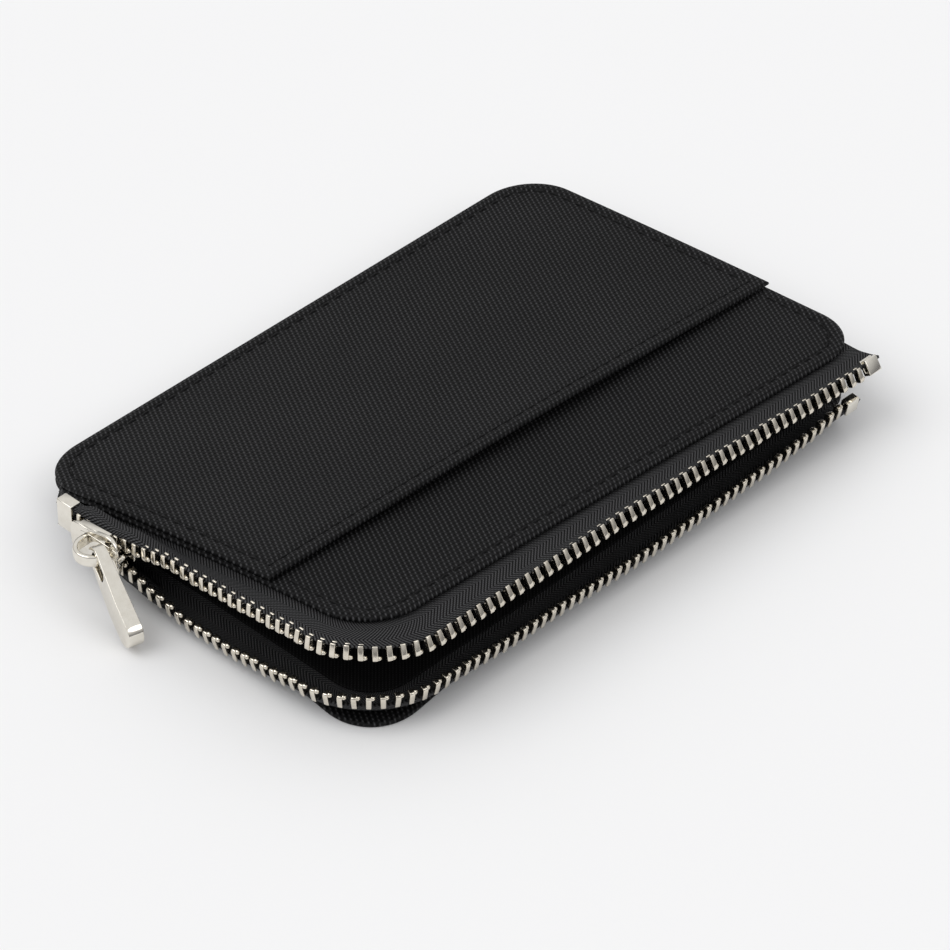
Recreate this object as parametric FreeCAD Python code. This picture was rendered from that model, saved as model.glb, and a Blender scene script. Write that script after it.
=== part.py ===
import FreeCAD, Part
import math
import os

# Slim pouch with a zip round two sides, lying flat with the zip drawn open.
# Frame: millimetres, +Z up, +X along the long side towards the zip's free end, +Y towards the spine.
# The origin is the middle of the base. The zip runs down the left side (-X), round the front left
# corner and along the front (-Y). The right side (+X) is closed by a folded gusset.

# Panels
panel_length = 112.0
panel_width = 75.0
corner_radius = 9.5
fabric = 0.9            # outer fabric with its turned edge
stiffener = 0.45
lining = 0.4
layer_gap = 0.05
stiffener_inset = 3.2
lining_inset = 1.6

# The upper panel rises from the spine to the gaping front left corner.
spine_height = 6.3      # top of the upper panel along the spine
mouth_rise = 10.9       # how much higher the front left corner is
right_share = 0.38      # share of that rise left at the front right corner
early_rise = 0.3        # share of the rise that is straight, the rest curves upwards

# Slip pocket on the outside of the upper panel
slip_mouth_y = -16.4
slip_lining_y = -14.0
slip_lining = 0.25
pocket_top = 1.2        # top of the pocket panel above the upper panel

# Card pocket inside, on the bottom lining
card_pocket_y = 4.0
card_pocket_end = 43.6  # stops short of the side gusset's fold
card_binding_width = 3.0

# Zip
tape_thickness = 0.45
tape_under_panel = 2.8
tooth_pitch = 2.05
tooth_length = 2.4
tooth_width = 0.92
tooth_thickness = 1.9
tooth_gap = 0.08
chain_offset = 5.0      # distance of the chain from the panel's edge
chain_end = 178.0       # end of the tapes, along the chain
first_tooth = 7.6
last_upper_tooth = 173.4
last_lower_tooth = 168.2
stop_length = 3.4
closed_until = 18.0     # the chain is closed up to here, inside the slider
open_from = 31.0        # from here on the tapes lie as they fall
chain_x = -61.3
chain_z = 8.3

# Slider and pull
slider_length = 10.6
slider_y = 14.3
slider_height = 7.6
plate = 0.9
channel = 2.2
crown_reach = 4.4
crown_radius = 3.1
crown_band = 2.0
crown_wire = 0.9
pull_width = 4.8
pull_thickness = 1.9
pull_length = 13.2      # from the crown's wire to the middle of the rounded tip
pull_head = 2.3         # from the crown's wire to the end inside the crown
pull_yaw = 19.0
pull_droop = 31.0

# Stitching
stitch_length = 2.1
stitch_pitch = 2.8
stitch_width = 0.45
stitch_height = 0.25
stitch_inset = 2.5

half_length = panel_length / 2
half_width = panel_width / 2
left_run = panel_width - 2 * corner_radius
chain_radius = corner_radius + chain_offset
corner_run = chain_radius * math.pi / 2
front_start = left_run + corner_run

# Height of the chain at a few places along it: (distance, height)
upper_root = [(0, 10.0), (8, 10.7), (15, 10.8), (18.5, 11.4), (25, 11.0), (32, 10.7), (41, 11.4), (48, 12.4),
              (56, 13.8), (67, 14.8), (79, 14.6), (115, 13.8), (135, 13.1), (149, 12.2), (163, 11.2),
              (176, 10.5)]
lower_root = [(0, 5.9), (15, 5.8), (18.5, 4.9), (25, 3.4), (32, 2.3), (41, 2.5), (48, 3.3), (56, 4.5), (67, 5.1),
              (79, 5.0), (97, 4.0), (125, 3.2), (149, 3.8), (160, 4.5), (169, 5.8), (176, 6.1)]


def vec(x, y, z):
    return FreeCAD.Vector(x, y, z)


def smooth(start, end, value):
    """0 before start, 1 after end, and an even S curve between."""
    t = min(max((value - start) / (end - start), 0.0), 1.0)
    return t * t * (3 - 2 * t)


def height_along(stations, s):
    """Height at distance s, eased between the two stations around it."""
    for (s0, z0), (s1, z1) in zip(stations, stations[1:]):
        if s <= s1:
            return z0 + (z1 - z0) * smooth(s0, s1, s)
    return stations[-1][1]


def panel_top(x, y):
    """Height of the upper panel's top face."""
    v = (half_width - y) / panel_width
    u = (x + half_length) / panel_length
    bend = early_rise * v + (1 - early_rise) * v * v
    return spine_height + mouth_rise * bend * (1 - (1 - right_share) * u)


def outline(inset, z):
    """Closed wire of the panel's rounded outline, moved inwards by inset."""
    x = half_length - inset
    y = half_width - inset
    r = corner_radius - inset
    d = r * (1 - math.sqrt(0.5))
    arcs = []
    for sx, sy in ((1, 1), (-1, 1), (-1, -1), (1, -1)):
        side = vec(sx * x, sy * (y - r), z)
        middle = vec(sx * (x - d), sy * (y - d), z)
        end = vec(sx * (x - r), sy * y, z)
        if sx * sy < 0:
            side, end = end, side
        arcs.append(Part.Arc(side, middle, end).toShape())
    edges = []
    for arc, after in zip(arcs, arcs[1:] + arcs[:1]):
        edges.append(arc)
        edges.append(Part.makeLine(arc.lastVertex().Point, after.firstVertex().Point))
    return Part.Wire(edges)


def prism(inset, low, high):
    return Part.Face(outline(inset, low)).extrude(vec(0, 0, high - low))


def box(x0, x1, y0, y1, z0, z1):
    return Part.makeBox(x1 - x0, y1 - y0, z1 - z0, vec(x0, y0, z0))


def top_layer(inset, low, high, back_of=None):
    """One layer of the upper side: low to high above the upper panel's top face."""
    margin = 6.0
    surface = Part.BezierSurface()
    surface.increase(1, 2)
    y0 = half_width + margin
    y2 = -half_width - margin
    for i, x in ((1, -half_length - margin), (2, half_length + margin)):
        start = panel_top(x, y0)
        end = panel_top(x, y2)
        middle = 2 * panel_top(x, 0) - (start + end) / 2
        surface.setPole(i, 1, vec(x, y0, start + low))
        surface.setPole(i, 2, vec(x, 0, middle + low))
        surface.setPole(i, 3, vec(x, y2, end + low))
    slab = surface.toShape().extrude(vec(0, 0, high - low))
    cutter = prism(inset, 0, 30)
    if back_of is not None:
        cutter = cutter.common(box(-80, 80, back_of, 60, -1, 31))
    return slab.common(cutter)


def chain_frame(s):
    """Point on the panel's edge at chain distance s, and the outward direction there."""
    if s <= left_run:
        return vec(-half_length, half_width - corner_radius - s, 0), vec(-1, 0, 0)
    if s <= front_start:
        angle = (s - left_run) / chain_radius
        out = vec(-math.cos(angle), -math.sin(angle), 0)
        centre = vec(-half_length + corner_radius, -half_width + corner_radius, 0)
        return centre + out * corner_radius, out
    return vec(-half_length + corner_radius + s - front_start, -half_width, 0), vec(0, -1, 0)


def section_points(s, points, thickness):
    """Closed wire across the tape at s: the points (out, z), thickened to both sides."""
    edge, out = chain_frame(s)
    sides = ([], [])
    for k, (d, z) in enumerate(points):
        before = points[max(k - 1, 0)]
        after = points[min(k + 1, len(points) - 1)]
        dd = after[0] - before[0]
        dz = after[1] - before[1]
        length = math.hypot(dd, dz)
        nd = -dz / length * thickness / 2
        nz = dd / length * thickness / 2
        sides[0].append(edge + out * (d + nd) + vec(0, 0, z + nz))
        sides[1].append(edge + out * (d - nd) + vec(0, 0, z - nz))
    ring = sides[0] + sides[1][::-1]
    return Part.makePolygon(ring + ring[:1])


def mix(a, b, t):
    return [(p[0] + (q[0] - p[0]) * t, p[1] + (q[1] - p[1]) * t) for p, q in zip(a, b)]


def upper_section(s):
    """Upper tape from under the panel to the teeth, as (out, z) points."""
    edge, out = chain_frame(s)
    inner = edge - out * tape_under_panel
    middle = fabric + layer_gap + tape_thickness / 2
    z_in = panel_top(inner.x, inner.y) - middle
    z_edge = panel_top(edge.x, edge.y) - middle
    root = height_along(upper_root, s)
    held = [(-tape_under_panel, z_in), (0.6, z_edge - 0.1), (2.7, root + 0.9), (4.9, root + 1.6),
            (5.3, root)]
    clipped = [(-tape_under_panel, z_in), (0.6, z_edge - 0.1), (2.7, root - 1.0), (4.4, root + 0.1),
               (5.2, root - 0.3)]
    lying = [(-tape_under_panel, z_in), (0.6, z_edge - 0.1),
             (2.0, z_edge + (root - z_edge) * 0.2), (3.3, z_edge + (root - z_edge) * 0.55), (4.4, root)]
    near = mix(clipped, held, smooth(7.0, 9.0, s))
    return mix(near, lying, smooth(closed_until, open_from, s))


def lower_section(s):
    """Lower tape from above the bottom panel to the teeth, as (out, z) points."""
    flat = fabric + layer_gap + tape_thickness / 2
    root = height_along(lower_root, s)
    held = [(-tape_under_panel, flat), (0.6, flat), (2.7, root - 1.6), (4.8, root - 1.9), (5.3, root)]
    clipped = [(-tape_under_panel, flat), (0.6, flat), (2.7, root - 1.2), (4.4, root - 0.4),
               (5.2, root + 0.2)]
    lying = [(-tape_under_panel, flat), (0.6, flat), (2.6, flat + (root - flat) * 0.25),
             (4.4, flat + (root - flat) * 0.65), (5.2, root)]
    near = mix(clipped, held, smooth(7.0, 9.0, s))
    return mix(near, lying, smooth(closed_until, open_from, s))


def zip_tape(section):
    stations = [0.0, 3.5, 7.0, 8.0, 9.0, 14.0, 18.0, 20.5, 23.0, 25.5, 28.0, 31.0, 36.0, 41.0, 46.0, 51.0,
                left_run]
    stations += [left_run + corner_run * k / 8 for k in range(1, 9)]
    stations += [front_start + (chain_end - front_start) * k / 16 for k in range(1, 17)]
    wires = [section_points(s, section(s), tape_thickness) for s in stations]
    return Part.makeLoft(wires, True, True)


def tooth(s, points, tilt):
    """One tooth: a bar that starts just past the tape's edge and points along tilt (degrees up)."""
    edge, out = chain_frame(s)
    root_d, root_z = points[-1]
    along = vec(0, 0, 1).cross(out)
    reach = out * math.cos(math.radians(tilt)) + vec(0, 0, math.sin(math.radians(tilt)))
    across = reach.cross(along)
    start = edge + out * root_d + vec(0, 0, root_z) + reach * (tape_thickness / 2 + tooth_gap)
    corner = start - along * (tooth_width / 2) - across * (tooth_thickness / 2)
    face = Part.Face(Part.makePolygon([
        corner,
        corner + along * tooth_width,
        corner + along * tooth_width + across * tooth_thickness,
        corner + across * tooth_thickness,
        corner,
    ]))
    return face.extrude(reach * (tooth_length - tape_thickness / 2 - tooth_gap))


def teeth(section, closed_tilt, open_tilt, first, last):
    bars = []
    for k in range(int((last - first) / tooth_pitch) + 1):
        s = first + k * tooth_pitch
        tilt = closed_tilt + (open_tilt - closed_tilt) * smooth(closed_until, open_from, s)
        bars.append(tooth(s, section(s), tilt))
    return Part.makeCompound(bars)


def spine_band(outer, inner, high):
    """Upright band behind the panels, along the spine and round both back corners."""
    low = fabric + layer_gap
    band = prism(outer, low, high).cut(prism(inner, low - 1, high + 1))
    return band.common(box(-60, 60, half_width - corner_radius, 40, 0, 20))


def side_gusset():
    """Folded strip that closes the right side, with its fold pointing inwards."""
    depth = 11.0
    thickness = 0.5
    outer_x = half_length - 0.6
    low = fabric + stiffener + lining + 3 * layer_gap
    wires = []
    for k in range(7):
        y = 27.0 - 9.0 * k
        high = panel_top(outer_x, y) - fabric - stiffener - lining - 6 * layer_gap
        middle = (low + high) / 2
        ring = [
            vec(outer_x, y, low),
            vec(outer_x, y, low + thickness),
            vec(outer_x - depth + 1.5, y, middle),
            vec(outer_x, y, high - thickness),
            vec(outer_x, y, high),
            vec(outer_x - depth, y, middle),
        ]
        wires.append(Part.makePolygon(ring + ring[:1]))
    return Part.makeLoft(wires, True, True)


def bottom_stop():
    """Folded clip that holds both tapes together behind the slider."""
    y0 = slider_y + slider_length / 2 + 1.6
    y1 = y0 + 4.6
    web = box(-63.1, -62.6, y0, y1, 5.0, 11.4)
    upper = box(-62.6, -60.4, y0, y1, 10.95, 11.4)
    lower = box(-62.6, -60.4, y0, y1, 5.0, 5.25)
    return web.fuse(upper).fuse(lower).removeSplitter()


def top_stop(s, section, tilt):
    """Small block crimped over the end of one row of teeth."""
    edge, out = chain_frame(s)
    root_d, root_z = section(s)[-1]
    along = vec(0, 0, 1).cross(out)
    reach = out * math.cos(math.radians(tilt)) + vec(0, 0, math.sin(math.radians(tilt)))
    across = reach.cross(along)
    thickness = 2.2
    start = edge + out * root_d + vec(0, 0, root_z) + reach * (tape_thickness / 2 + tooth_gap)
    corner = start - along * (stop_length / 2) - across * (thickness / 2)
    face = Part.Face(Part.makePolygon([
        corner,
        corner + along * stop_length,
        corner + along * stop_length + across * thickness,
        corner + across * thickness,
        corner,
    ]))
    block = face.extrude(reach * 2.2)
    return block.makeFillet(0.3, block.Edges)


def slider_plate(x0, x1, height):
    """Shield outline in the YZ plane, wide at the end that takes the open teeth."""
    back = slider_y + slider_length / 2
    front = slider_y - slider_length / 2
    wide = height / 2
    narrow = wide - 0.9
    points = [
        (back, -narrow + 0.8), (back, narrow - 0.8), (back - 0.8, narrow), (slider_y, narrow + 0.2),
        (front + 2.6, wide), (front + 0.9, wide - 0.5), (front, wide - 2.0),
        (front, -wide + 2.0), (front + 0.9, -wide + 0.5), (front + 2.6, -wide),
        (slider_y, -narrow - 0.2), (back - 0.8, -narrow),
    ]
    ring = [vec(x0, y, chain_z + z) for y, z in points]
    return Part.Face(Part.makePolygon(ring + ring[:1])).extrude(vec(x1 - x0, 0, 0))


def slider_body():
    """Two wings joined by a wedge between the two open channels, with curled guide flanges."""
    outer_in = chain_x - channel / 2
    inner_in = chain_x + channel / 2
    body = slider_plate(outer_in - plate, outer_in, slider_height)
    body = body.fuse(slider_plate(inner_in, inner_in + plate, slider_height - 1.0))
    front = slider_y - slider_length / 2
    wedge = [vec(outer_in, front + 0.1, chain_z - 0.5), vec(outer_in, front + 0.1, chain_z + 0.5),
             vec(outer_in, front + 1.5, chain_z)]
    neck = Part.Face(Part.makePolygon(wedge + wedge[:1])).extrude(vec(channel, 0, 0))
    body = body.fuse(neck)
    for side in (-1, 1):
        z = chain_z + side * (slider_height / 2 - 0.9)
        low = min(z, z - side * 0.5)
        flange = box(outer_in - 0.01, outer_in + 0.55, slider_y - 1.0, slider_y + 4.4, low, low + 0.5)
        body = body.fuse(flange)
    return body.removeSplitter()


def crown_centre():
    """Middle of the crown's arc: the pull slides round the arc, so it turns about this point."""
    face_x = chain_x - channel / 2 - plate
    return vec(face_x - crown_reach + crown_radius, slider_y - 1.2, chain_z + 1.2)


def slider_crown():
    """Flat arch over the outer wing that the pull hangs on."""
    face_x = chain_x - channel / 2 - plate
    centre = crown_centre()
    inner_radius = crown_radius - crown_wire
    low = centre.z - crown_band / 2
    high = centre.z + crown_band / 2
    base = vec(centre.x, centre.y, low)
    ring = Part.makeCylinder(crown_radius, crown_band, base)
    ring = ring.cut(Part.makeCylinder(inner_radius, crown_band, base))
    arch = ring.common(box(centre.x - 10, centre.x, centre.y - 10, centre.y + 10, low, high))
    for side in (-1, 1):
        y0 = centre.y + side * crown_radius
        y1 = centre.y + side * inner_radius
        arch = arch.fuse(box(centre.x, face_x, min(y0, y1), max(y0, y1), low, high))
    return arch.removeSplitter()


def pull_tab():
    """Flat bar on edge: an eye round the crown's wire, a broad blade and a rounded tip."""
    half = pull_thickness / 2
    side = pull_width / 2
    head_side = side - 0.25
    neck = head_side - pull_head
    wire = Part.Wire([
        Part.makeLine(vec(neck, head_side, -half), vec(pull_length, side, -half)),
        Part.Arc(vec(pull_length, side, -half), vec(pull_length + side, 0, -half),
                 vec(pull_length, -side, -half)).toShape(),
        Part.makeLine(vec(pull_length, -side, -half), vec(neck, -head_side, -half)),
        Part.Arc(vec(neck, -head_side, -half), vec(-pull_head, 0, -half),
                 vec(neck, head_side, -half)).toShape(),
    ])
    blade = Part.Face(wire).extrude(vec(0, 0, pull_thickness))
    blade = blade.cut(box(-1.2, 3.4, -1.25, 1.25, -half - 1, half + 1))
    # blade length along local x, width along local y, thickness along local z
    yaw = math.radians(pull_yaw)
    droop = math.radians(pull_droop)
    outward = vec(-math.sin(yaw), -math.cos(yaw), 0)
    length_axis = outward * math.cos(droop) - vec(0, 0, math.sin(droop))
    width_axis = outward * math.sin(droop) + vec(0, 0, math.cos(droop))
    flat_axis = length_axis.cross(width_axis)
    origin = crown_centre() + outward * (crown_radius - crown_wire / 2)
    blade.Placement = FreeCAD.Placement(FreeCAD.Matrix(
        length_axis.x, width_axis.x, flat_axis.x, origin.x,
        length_axis.y, width_axis.y, flat_axis.y, origin.y,
        length_axis.z, width_axis.z, flat_axis.z, origin.z,
        0, 0, 0, 1))
    return blade


def stitch(point, along, normal):
    """One thread bar lying just above the fabric."""
    side = normal.cross(along)
    corner = point + normal * layer_gap - along * (stitch_length / 2) - side * (stitch_width / 2)
    face = Part.Face(Part.makePolygon([
        corner,
        corner + along * stitch_length,
        corner + along * stitch_length + side * stitch_width,
        corner + side * stitch_width,
        corner,
    ]))
    return face.extrude(normal * stitch_height)


def stitches_on_top(points, lift):
    """Thread bars between successive plan points, on the face lift above the upper panel."""
    bars = []
    for (x0, y0), (x1, y1) in zip(points, points[1:]):
        count = max(int(math.hypot(x1 - x0, y1 - y0) / stitch_pitch), 1)
        for k in range(count):
            t = (k + 0.5) / count
            x = x0 + (x1 - x0) * t
            y = y0 + (y1 - y0) * t
            step = 0.01
            slope_x = (panel_top(x + step, y) - panel_top(x - step, y)) / (2 * step)
            slope_y = (panel_top(x, y + step) - panel_top(x, y - step)) / (2 * step)
            normal = vec(-slope_x, -slope_y, 1).normalize()
            flat = vec(x1 - x0, y1 - y0, 0).normalize()
            along = vec(flat.x, flat.y, slope_x * flat.x + slope_y * flat.y).normalize()
            bars.append(stitch(vec(x, y, panel_top(x, y) + lift), along, normal))
    return Part.makeCompound(bars)


def corner_points(sign_x, sign_y, inset, steps=4):
    """Plan points round one corner, from the side to the end of the panel."""
    r = corner_radius - inset
    cx = sign_x * (half_length - corner_radius)
    cy = sign_y * (half_width - corner_radius)
    points = []
    for k in range(steps + 1):
        angle = math.pi / 2 * k / steps
        points.append((cx + sign_x * r * math.cos(angle), cy + sign_y * r * math.sin(angle)))
    return points


def stitches_spine():
    left = corner_points(-1, 1, stitch_inset)
    right = corner_points(1, 1, stitch_inset)
    points = left + right[::-1]
    points.append((half_length - stitch_inset, slip_mouth_y + 4.0))
    return stitches_on_top(points, pocket_top)


def stitches_hem():
    y = slip_mouth_y + stitch_inset
    return stitches_on_top([(-half_length + 2.0, y), (half_length - 4.5, y)], pocket_top)


def stitches_zip():
    left = corner_points(-1, -1, stitch_inset)
    right = corner_points(1, -1, stitch_inset)
    points = [(-half_length + stitch_inset, slip_mouth_y - 1.0)] + left + right[::-1]
    return stitches_on_top(points, 0.0)


low_stiffener = fabric + layer_gap
low_lining = low_stiffener + stiffener + layer_gap
card_low = low_lining + lining + layer_gap
under_panel = -fabric - layer_gap
under_stiffener = under_panel - stiffener - 3 * layer_gap

nodes = {
    "bottom_panel": prism(0, 0, fabric),
    "bottom_stiffener": prism(stiffener_inset, low_stiffener, low_stiffener + stiffener),
    "bottom_lining": prism(lining_inset, low_lining, low_lining + lining),
    "card_pocket": prism(3.0, card_low, card_low + lining).common(
        box(-60, card_pocket_end, card_pocket_y + card_binding_width, 40, 0, 9)),
    "card_pocket_binding": prism(3.0, card_low, card_low + 2 * lining).common(
        box(-60, card_pocket_end, card_pocket_y, card_pocket_y + card_binding_width - layer_gap, 0, 9)),
    "spine_strip": spine_band(0, 0.7, 4.2),
    "spine_lining": spine_band(0.75, 1.15, 4.2),
    "side_gusset": side_gusset(),
    "zip_tape_lower": zip_tape(lower_section),
    "zip_teeth_lower": teeth(lower_section, 90.0, 82.0, first_tooth, last_lower_tooth),
    "top_stop_lower": top_stop(last_lower_tooth + 2.9, lower_section, 82.0),
    "bottom_stop": bottom_stop(),
    "top_panel": top_layer(0, -fabric, 0),
    "slip_pocket_lining": top_layer(0.4, layer_gap, layer_gap + slip_lining, slip_lining_y),
    "slip_pocket_panel": top_layer(0, pocket_top - fabric + 0.05, pocket_top, slip_mouth_y),
    "top_stiffener": top_layer(stiffener_inset, under_panel - stiffener, under_panel),
    "top_lining": top_layer(lining_inset, under_stiffener - lining, under_stiffener),
    "zip_tape_upper": zip_tape(upper_section),
    "zip_teeth_upper": teeth(upper_section, -90.0, -30.0, first_tooth + tooth_pitch / 2,
                             last_upper_tooth),
    "top_stop_upper": top_stop(last_upper_tooth + 2.9, upper_section, -30.0),
    "stitches_spine": stitches_spine(),
    "stitches_hem": stitches_hem(),
    "stitches_zip": stitches_zip(),
    "slider_body": slider_body(),
    "slider_crown": slider_crown(),
    "pull_tab": pull_tab(),
}

os.makedirs("parts", exist_ok=True)
for name, shape in nodes.items():
    shape.exportStep("parts/" + name + ".step")
    bounds = shape.BoundBox
    print(f"{name:22s} valid {shape.isValid()} solids {len(shape.Solids):3d} volume {shape.Volume:9.2f}  "
          f"x {bounds.XMin:7.2f} {bounds.XMax:7.2f}  y {bounds.YMin:7.2f} {bounds.YMax:7.2f}  "
          f"z {bounds.ZMin:6.2f} {bounds.ZMax:6.2f}")
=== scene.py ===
import math

import bmesh
import bpy
import numpy as np
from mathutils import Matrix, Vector


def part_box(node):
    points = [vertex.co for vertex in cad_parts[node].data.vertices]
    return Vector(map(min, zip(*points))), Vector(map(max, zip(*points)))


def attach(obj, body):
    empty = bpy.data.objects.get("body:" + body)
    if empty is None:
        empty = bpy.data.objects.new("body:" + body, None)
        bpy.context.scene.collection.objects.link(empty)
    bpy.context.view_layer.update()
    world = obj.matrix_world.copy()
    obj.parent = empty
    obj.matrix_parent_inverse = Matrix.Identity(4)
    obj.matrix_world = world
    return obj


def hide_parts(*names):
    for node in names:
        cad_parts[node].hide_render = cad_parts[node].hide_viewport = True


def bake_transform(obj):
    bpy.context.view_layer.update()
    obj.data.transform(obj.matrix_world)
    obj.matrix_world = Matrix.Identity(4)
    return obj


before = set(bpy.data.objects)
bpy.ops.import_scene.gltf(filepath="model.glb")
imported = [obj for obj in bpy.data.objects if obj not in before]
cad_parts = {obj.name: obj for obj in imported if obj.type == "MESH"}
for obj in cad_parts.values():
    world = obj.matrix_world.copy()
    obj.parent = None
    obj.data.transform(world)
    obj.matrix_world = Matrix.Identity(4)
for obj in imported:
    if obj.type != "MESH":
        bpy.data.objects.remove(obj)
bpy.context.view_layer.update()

# ---- sizes, in millimetres
MM = 0.001


def box_mm(node):
    low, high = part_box(node)
    return np.array(low) / MM, np.array(high) / MM


HALF_LENGTH, HALF_WIDTH, FABRIC = box_mm("bottom_panel")[1]
LENGTH = 2 * HALF_LENGTH
WIDTH = 2 * HALF_WIDTH
CORNER_RADIUS = 9.5
STITCH_INSET = 2.5
STITCH_PITCH = 2.8
STITCH_LENGTH = 2.15
STITCH_RADIUS = 0.25
CORNER_SWELL = 4.6
SLIP_MOUTH_Y = -16.4

# The upper panel rises from the spine to the gaping front left corner.
SPINE_LEFT = 4.9
SPINE_RIGHT = 6.0
MOUTH_LEFT = 17.8
MOUTH_RIGHT = 11.4
ARCH = 1.25
CAD_SPINE = 6.3
CAD_RISE = 10.9
CAD_FALL = 0.62
CAD_ARCH = 0.3
POCKET_TOP = 1.2

# Zip
CHAIN_OFFSET = 5.0
CHAIN_END = 178.0
CLOSED_UNTIL = 18.0
OPEN_FROM = 31.0
TOOTH_PITCH = 2.05
TOOTH_LENGTH = 2.4
TOOTH_WIDTH = 0.82
TAPE = 0.45
TAPE_UNDER_PANEL = 2.8
FIRST_TOOTH = 7.6
LAST_UPPER_TOOTH = 173.4
LAST_LOWER_TOOTH = 168.2
LEFT_RUN = WIDTH - 2 * CORNER_RADIUS
CHAIN_RADIUS = CORNER_RADIUS + CHAIN_OFFSET
CORNER_RUN = CHAIN_RADIUS * math.pi / 2
FRONT_START = LEFT_RUN + CORNER_RUN

# Height of each side of the chain at a few places along it in the CAD model: (distance, height)
UPPER_ROOT = [(0, 10.0), (8, 10.7), (15, 10.8), (18.5, 11.4), (25, 11.0), (32, 10.7), (41, 11.4),
              (48, 12.4), (56, 13.8), (67, 14.8), (79, 14.6), (115, 13.8), (135, 13.1), (149, 12.2),
              (163, 11.2), (176, 10.5)]
LOWER_ROOT = [(0, 5.9), (15, 5.8), (18.5, 4.9), (25, 3.4), (32, 2.3), (41, 2.5), (48, 3.3),
              (56, 4.5), (67, 5.1), (79, 5.0), (97, 4.0), (125, 3.2), (149, 3.8), (160, 4.5),
              (169, 5.8), (176, 6.1)]

TAPE_START = 3.0
TAPE_STEP = 0.9
CROWN_WIRE = 0.9
UP = np.array([0, 0, 1.0])
rng = np.random.default_rng(7)


# ---- small maths
def smooth(start, end, value):
    """0 before start, 1 after end, and an even S curve between."""
    t = np.clip((np.asarray(value, float) - start) / (end - start), 0.0, 1.0)
    return t * t * (3 - 2 * t)


def height_along(stations, s):
    for (s0, z0), (s1, z1) in zip(stations, stations[1:]):
        if s <= s1:
            return z0 + (z1 - z0) * float(smooth(s0, s1, s))
    return stations[-1][1]


def bend_share(y, arch):
    """Share of the rise from the spine to the mouth; arch over 1 rises early, under 1 late."""
    v = (HALF_WIDTH - y) / WIDTH
    return arch * v + (1 - arch) * v * v


def panel_top(x, y):
    """Height of the upper panel's top face, which arches from the spine to the open mouth."""
    u = (x + HALF_LENGTH) / LENGTH
    bend = bend_share(y, ARCH)
    left = SPINE_LEFT + (MOUTH_LEFT - SPINE_LEFT) * bend
    right = SPINE_RIGHT + (MOUTH_RIGHT - SPINE_RIGHT) * bend
    return left * (1 - u) + right * u


def cad_panel_top(x, y):
    """Height of the same face in the CAD model, which bends up later and less."""
    u = (x + HALF_LENGTH) / LENGTH
    return CAD_SPINE + CAD_RISE * bend_share(y, CAD_ARCH) * (1 - CAD_FALL * u)


def unevenness(x, y):
    """Slow hollows and swells of soft fabric, a tenth of a millimetre or so."""
    return (0.09 * np.sin(x / 9.0 + 0.7) * np.sin(y / 7.5 + 1.9)
            + 0.05 * np.sin(x / 4.3 + y / 6.1) + 0.04 * np.sin(x / 15.0 - y / 5.2 + 2.0))


def unit(v):
    return v / np.linalg.norm(v, axis=-1, keepdims=True)


def lengths_along(line):
    """Distance from the start of a line of points to each of them."""
    return np.concatenate([[0], np.cumsum(np.linalg.norm(np.diff(line, axis=0), axis=1))])


def spline(p0, p1, p2, p3, steps):
    """Points from p1 up to p2, without p2, on a smooth curve through the four."""
    return [0.5 * (2 * p1 + (p2 - p0) * t + (2 * p0 - 5 * p1 + 4 * p2 - p3) * t * t
                   + (3 * p1 - p0 - 3 * p2 + p3) * t ** 3)
            for t in np.linspace(0, 1, steps, endpoint=False)]


# ---- mesh helpers
def add_object(name, data):
    made = bpy.data.objects.new(name, data)
    bpy.context.scene.collection.objects.link(made)
    return made


def new_object(name, verts, faces, uvs=None):
    """Object from vertices in millimetres, with a cloth map of the flat fabric, in millimetres."""
    mesh = bpy.data.meshes.new(name)
    mesh.from_pydata([tuple(v) for v in np.asarray(verts, float) * MM], [], faces)
    if uvs is not None:
        layer = mesh.uv_layers.new(name="cloth")
        index = np.zeros(len(mesh.loops), int)
        mesh.loops.foreach_get("vertex_index", index)
        layer.data.foreach_set("uv", np.asarray(uvs, float)[index].astype(np.float32).ravel())
    mesh.polygons.foreach_set("use_smooth", [True] * len(mesh.polygons))
    mesh.update()
    return add_object(name, mesh)


def fix_normals(piece):
    data = bmesh.new()
    data.from_mesh(piece.data)
    bmesh.ops.recalc_face_normals(data, faces=data.faces)
    data.to_mesh(piece.data)
    data.free()


def bevel(piece, width, segments=3, angle=35.0):
    """Rounds the sharp edges of a metal piece, and shades it smooth."""
    modifier = piece.modifiers.new("bevel", "BEVEL")
    modifier.width = width * MM
    modifier.segments = segments
    modifier.limit_method = "ANGLE"
    modifier.angle_limit = math.radians(angle)
    bpy.context.view_layer.update()
    graph = bpy.context.evaluated_depsgraph_get()
    made = bpy.data.meshes.new_from_object(piece.evaluated_get(graph))
    piece.modifiers.clear()
    piece.data = made
    made.polygons.foreach_set("use_smooth", [True] * len(made.polygons))


def dress(piece, body, slot, material, *nodes):
    """Puts a piece on its body, with its material, in place of its nodes."""
    piece.data.materials.clear()
    piece.data.materials.append(material)
    if body:
        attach(piece, body)
    if nodes:
        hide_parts(*nodes)


def join_parts(parts):
    """Vertices and faces of several (verts, faces) parts as one."""
    verts = []
    faces = []
    for part_verts, part_faces in parts:
        base = sum(len(v) for v in verts)
        verts.append(np.asarray(part_verts, float))
        faces += [tuple(i + base for i in f) for f in part_faces]
    return np.vstack(verts), faces


def ring_faces(rings, n):
    """Quads between rings of n vertices that follow each other."""
    faces = []
    for k in range(rings - 1):
        for i in range(n):
            j = (i + 1) % n
            faces.append((k * n + i, k * n + j, (k + 1) * n + j, (k + 1) * n + i))
    return faces


def flat_caps(rings, n):
    """One face over the first ring and one over the last."""
    return [tuple(range(n))[::-1], tuple(range((rings - 1) * n, rings * n))]


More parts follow.
